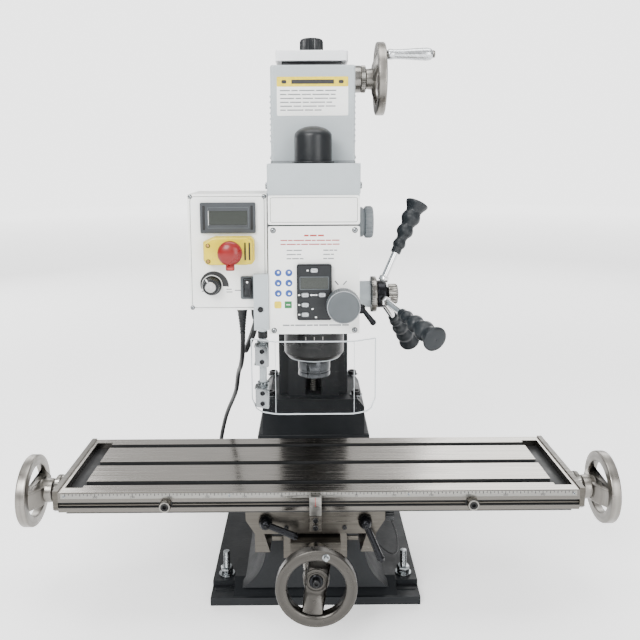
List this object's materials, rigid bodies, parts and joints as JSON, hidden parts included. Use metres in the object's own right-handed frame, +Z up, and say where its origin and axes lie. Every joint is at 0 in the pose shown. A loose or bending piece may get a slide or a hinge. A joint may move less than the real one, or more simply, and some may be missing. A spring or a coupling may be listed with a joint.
{
  "type": "vertical milling machine",
  "caption": "Bench-top vertical milling machine: dovetail column, tilting head with quill feed, T-slotted cross table on handwheel screws, clear chip guard and side control box.",
  "frame": {"origin": "centre of the base casting's underside", "axes": "+X to the operator's right, +Y away from the operator into the machine, +Z up"},
  "size_m": [0.852, 0.646, 0.846],
  "materials": {
    "charcoal_paint": "satin",
    "grey_paint": "satin",
    "white_plate": "satin",
    "white_cap": "satin",
    "machined_iron": "ground",
    "table_steel": "ground",
    "polished_alloy": "polished",
    "bright_steel": "bright",
    "zinc_steel": "zinc plated",
    "black_steel": "blackened",
    "chrome": "polished",
    "bronze": "machined",
    "black_plastic": "matte",
    "grey_plastic": "matte",
    "key_grey": "matte",
    "yellow_plastic": "gloss",
    "red_plastic": "gloss",
    "clear_guard": "clear",
    "grip_rubber": "matte",
    "cable_black": "satin"
  },
  "bodies": {
    "frame": {"base_casting": "charcoal_paint", "column_casting": "charcoal_paint", "column_bolts": "black_steel", "gear_housing": "white_cap", "dust_cap": "black_plastic", "hold_down_studs": "zinc_steel", "y_screw_bracket": "machined_iron", "mains_lead_lower": "cable_black", "lead_coil": "cable_black", "mains_plug": "black_plastic"},
    "saddle": {"saddle_casting": "machined_iron", "feed_nuts": "bronze", "pointer_block": "bright_steel"},
    "saddle_lever_left": {"saddle_lever_left": "black_steel"},
    "saddle_lever_right": {"saddle_lever_right": "black_steel"},
    "table": {"table_top": "table_steel", "end_brackets": "machined_iron", "table_stops": "black_steel"},
    "x_screw": {"x_leadscrew": "bright_steel", "x_handwheels": "polished_alloy", "x_dials": "bright_steel"},
    "y_screw": {"y_leadscrew": "bright_steel", "handwheel_front": "polished_alloy", "y_dial": "bright_steel"},
    "z_crank": {"z_crank_shaft": "bright_steel", "z_dial": "bright_steel", "z_handwheel": "polished_alloy"},
    "z_crank_handle": {"z_crank_handle": "bright_steel"},
    "z_screw": {"z_leadscrew": "bright_steel"},
    "carriage": {"z_carriage": "charcoal_paint", "z_nut": "bronze"},
    "head": {"head_casting": "grey_paint", "tilt_bolts": "zinc_steel", "motor_cover": "grey_paint", "motor": "black_steel", "spindle_cap": "black_plastic", "front_plates": "white_plate", "dro_panel": "black_plastic", "control_box": "white_plate", "estop_housing": "yellow_plastic", "guard_bracket": "grey_paint", "lead_gland": "black_plastic", "mains_lead_upper": "cable_black", "motor_conduit": "cable_black"},
    "quill": {"quill": "bright_steel"},
    "spindle": {"spindle": "bright_steel"},
    "feed": {"feed_hub": "chrome", "feed_grips": "grip_rubber"},
    "fine_feed_knob": {"fine_feed_knob": "grey_plastic"},
    "range_knob": {"range_knob": "grey_plastic"},
    "speed_knob": {"speed_knob": "black_plastic"},
    "direction_switch": {"direction_switch": "black_plastic"},
    "estop_button": {"estop_button": "red_plastic"},
    "guard": {"guard_shield": "clear_guard"},
    "quill_lock_lever": {"quill_lock_lever": "black_steel"},
    "dro_key_1": {"dro_key_1": "key_grey"},
    "dro_key_2": {"dro_key_2": "key_grey"},
    "dro_key_3": {"dro_key_3": "key_grey"},
    "dro_key_4": {"dro_key_4": "key_grey"},
    "dro_key_5": {"dro_key_5": "key_grey"}
  },
  "joints": [
    {"name": "saddle_slide", "type": "slide", "parent": "frame", "child": "saddle", "axis": [0, 1, 0], "range_m": [-0.055, 0.095]},
    {"name": "table_slide", "type": "slide", "parent": "saddle", "child": "table", "axis": [1, 0, 0], "range_m": [-0.193, 0.183]},
    {"name": "saddle_lock_left", "type": "hinge", "parent": "saddle", "child": "saddle_lever_left", "pos_m": [-0.068, -0.24, 0.15], "axis": [0, 1, 0], "range_deg": [-30, 0]},
    {"name": "saddle_lock_right", "type": "hinge", "parent": "saddle", "child": "saddle_lever_right", "pos_m": [0.068, -0.24, 0.15], "axis": [0, 1, 0], "range_deg": [-40, 0]},
    {"name": "x_screw_turn", "type": "hinge", "parent": "table", "child": "x_screw", "pos_m": [0.005, -0.157, 0.16], "axis": [1, 0, 0], "continuous": true},
    {"name": "y_screw_turn", "type": "hinge", "parent": "frame", "child": "y_screw", "pos_m": [0, -0.3, 0.113], "axis": [0, 1, 0], "continuous": true},
    {"name": "z_slide", "type": "slide", "parent": "frame", "child": "carriage", "axis": [0, 0, 1], "range_m": [-0.1, 0.15], "deforming": ["mains_lead_lower"]},
    {"name": "z_screw_turn", "type": "hinge", "parent": "frame", "child": "z_screw", "pos_m": [0, 0.066, 0.5], "axis": [0, 0, 1], "continuous": true},
    {"name": "z_crank_turn", "type": "hinge", "parent": "frame", "child": "z_crank", "pos_m": [0.1, 0.066, 0.773], "axis": [1, 0, 0], "continuous": true},
    {"name": "z_crank_handle_spin", "type": "hinge", "parent": "z_crank", "child": "z_crank_handle", "pos_m": [0.16, 0.036, 0.809], "axis": [1, 0, 0], "continuous": true},
    {"name": "head_tilt", "type": "hinge", "parent": "carriage", "child": "head", "pos_m": [0, -0.04, 0.49], "axis": [0, 1, 0], "range_deg": [-90, 90], "deforming": ["mains_lead_upper"]},
    {"name": "quill_feed", "type": "slide", "parent": "head", "child": "quill", "axis": [0, 0, -1], "range_m": [0, 0.05], "stiffness_N_per_m": 200, "springref_m": -0.4},
    {"name": "feed_turn", "type": "hinge", "parent": "head", "child": "feed", "pos_m": [0.1, -0.119, 0.443], "axis": [1, 0, 0], "range_deg": [0, 360]},
    {"name": "spindle_turn", "type": "hinge", "parent": "quill", "child": "spindle", "pos_m": [0, -0.157, 0.4], "axis": [0, 0, 1], "continuous": true},
    {"name": "fine_feed_turn", "type": "hinge", "parent": "head", "child": "fine_feed_knob", "pos_m": [0.0375, -0.24, 0.452], "axis": [0, 1, 0], "continuous": true},
    {"name": "range_select", "type": "hinge", "parent": "head", "child": "range_knob", "pos_m": [0.07, -0.157, 0.553], "axis": [1, 0, 0], "range_deg": [0, 90]},
    {"name": "speed_turn", "type": "hinge", "parent": "head", "child": "speed_knob", "pos_m": [-0.136, -0.225, 0.4745], "axis": [0, 1, 0], "range_deg": [0, 270]},
    {"name": "direction_rock", "type": "hinge", "parent": "head", "child": "direction_switch", "pos_m": [-0.0885, -0.2206, 0.4715], "axis": [1, 0, 0], "range_deg": [-10, 10]},
    {"name": "estop_press", "type": "slide", "parent": "head", "child": "estop_button", "axis": [0, 1, 0], "range_m": [0, 0.004]},
    {"name": "guard_swing", "type": "hinge", "parent": "head", "child": "guard", "pos_m": [-0.069, -0.224, 0.36], "axis": [0, 0, 1], "range_deg": [-100, 0]},
    {"name": "quill_lock", "type": "hinge", "parent": "head", "child": "quill_lock_lever", "pos_m": [0.06, -0.195, 0.437], "axis": [1, 0, 0], "range_deg": [-40, 40]},
    {"name": "dro_press_1", "type": "slide", "parent": "head", "child": "dro_key_1", "axis": [0, 1, 0], "range_m": [0, 0.0008], "stiffness_N_per_m": 300},
    {"name": "dro_press_2", "type": "slide", "parent": "head", "child": "dro_key_2", "axis": [0, 1, 0], "range_m": [0, 0.0008], "stiffness_N_per_m": 300},
    {"name": "dro_press_3", "type": "slide", "parent": "head", "child": "dro_key_3", "axis": [0, 1, 0], "range_m": [0, 0.0008], "stiffness_N_per_m": 300},
    {"name": "dro_press_4", "type": "slide", "parent": "head", "child": "dro_key_4", "axis": [0, 1, 0], "range_m": [0, 0.0008], "stiffness_N_per_m": 300},
    {"name": "dro_press_5", "type": "slide", "parent": "head", "child": "dro_key_5", "axis": [0, 1, 0], "range_m": [0, 0.0008], "stiffness_N_per_m": 300}
  ],
  "couplings": [
    {"joint": "x_screw_turn", "follows": "table_slide", "rad_per_m": 1570.8},
    {"joint": "y_screw_turn", "follows": "saddle_slide", "rad_per_m": 1570.8},
    {"joint": "z_screw_turn", "follows": "z_slide", "rad_per_m": 1570.8},
    {"joint": "z_crank_turn", "follows": "z_slide", "rad_per_m": 1570.8},
    {"joint": "feed_turn", "follows": "quill_feed", "rad_per_m": 125}
  ]
}
